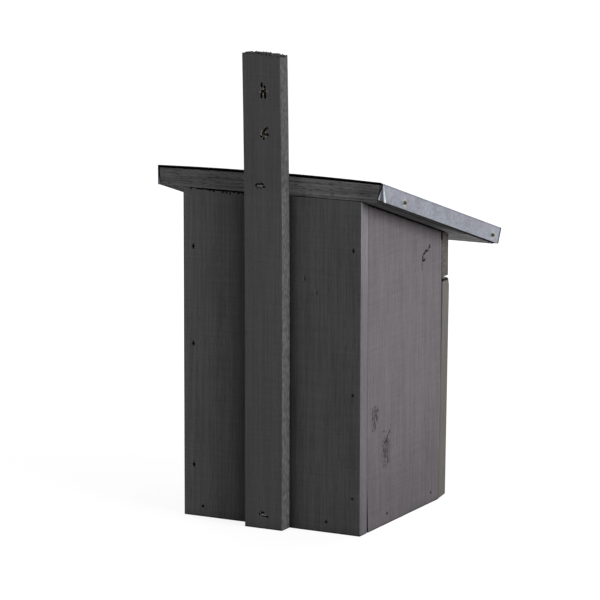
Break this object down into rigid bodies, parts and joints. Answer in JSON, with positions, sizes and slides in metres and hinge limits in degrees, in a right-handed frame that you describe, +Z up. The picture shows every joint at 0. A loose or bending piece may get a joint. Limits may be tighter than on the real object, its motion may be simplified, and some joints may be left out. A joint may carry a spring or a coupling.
{
  "type": "bird nest box",
  "caption": "Painted wooden bird nest box with a zinc-clad pent roof, a drop-down front door with an entrance hole, and a batten at the back to hang it by.",
  "frame": {"origin": "on the wall plane, midway between the two fixing holes in the batten", "axes": "+Z up along the batten, +Y into the wall, -Y out of the front with the entrance hole, +X to the right of a person who faces the front"},
  "size_m": [0.2557, 0.2971, 0.4786],
  "materials": {
    "painted_wood": "charcoal grey exterior stain on sawn softwood, matt",
    "zinc_sheet": "weathered zinc sheet, satin, mottled",
    "nail_steel": "painted over, dull",
    "cladding_nail": "tarnished brass-plated nail heads",
    "staple_wire": "dark stained wire",
    "hinge_steel": "zinc-plated, satin",
    "hook_steel": "zinc-plated wire"
  },
  "bodies": {
    "box": {"back_panel": "painted_wood", "side_panel_left": "painted_wood", "side_panel_right": "painted_wood", "floor_board": "painted_wood", "front_top_rail": "painted_wood", "hanging_batten": "painted_wood", "roof_board": "painted_wood", "roof_cladding": "zinc_sheet", "back_nails_left": "nail_steel", "back_nails_right": "nail_steel", "back_floor_nails": "nail_steel", "side_floor_nails_left": "nail_steel", "side_floor_nails_right": "nail_steel", "front_rail_nails": "nail_steel", "roof_board_nails": "nail_steel", "cladding_nails_left": "cladding_nail", "cladding_nails_right": "cladding_nail", "cladding_nails_front": "cladding_nail", "batten_staple_top": "staple_wire", "batten_staple_bottom": "staple_wire", "hinge_left_floor_leaf": "hinge_steel", "hinge_left_pin": "hinge_steel", "hinge_left_floor_screws": "hinge_steel", "hinge_right_floor_leaf": "hinge_steel", "hinge_right_pin": "hinge_steel", "hinge_right_floor_screws": "hinge_steel"},
    "door": {"front_door": "painted_wood", "hinge_left_door_leaf": "hinge_steel", "hinge_left_door_screws": "hinge_steel", "hinge_right_door_leaf": "hinge_steel", "hinge_right_door_screws": "hinge_steel"},
    "hook": {"door_turn_hook": "hook_steel"}
  },
  "joints": [
    {"name": "door_hinge", "type": "hinge", "parent": "box", "child": "door", "pos_m": [0, -0.215, -0.4186], "axis": [1, 0, 0], "range_deg": [0, 90]},
    {"name": "hook_turn", "type": "hinge", "parent": "box", "child": "hook", "pos_m": [0, -0.2153, -0.1665], "axis": [0, 1, 0], "range_deg": [0, 90]}
  ]
}
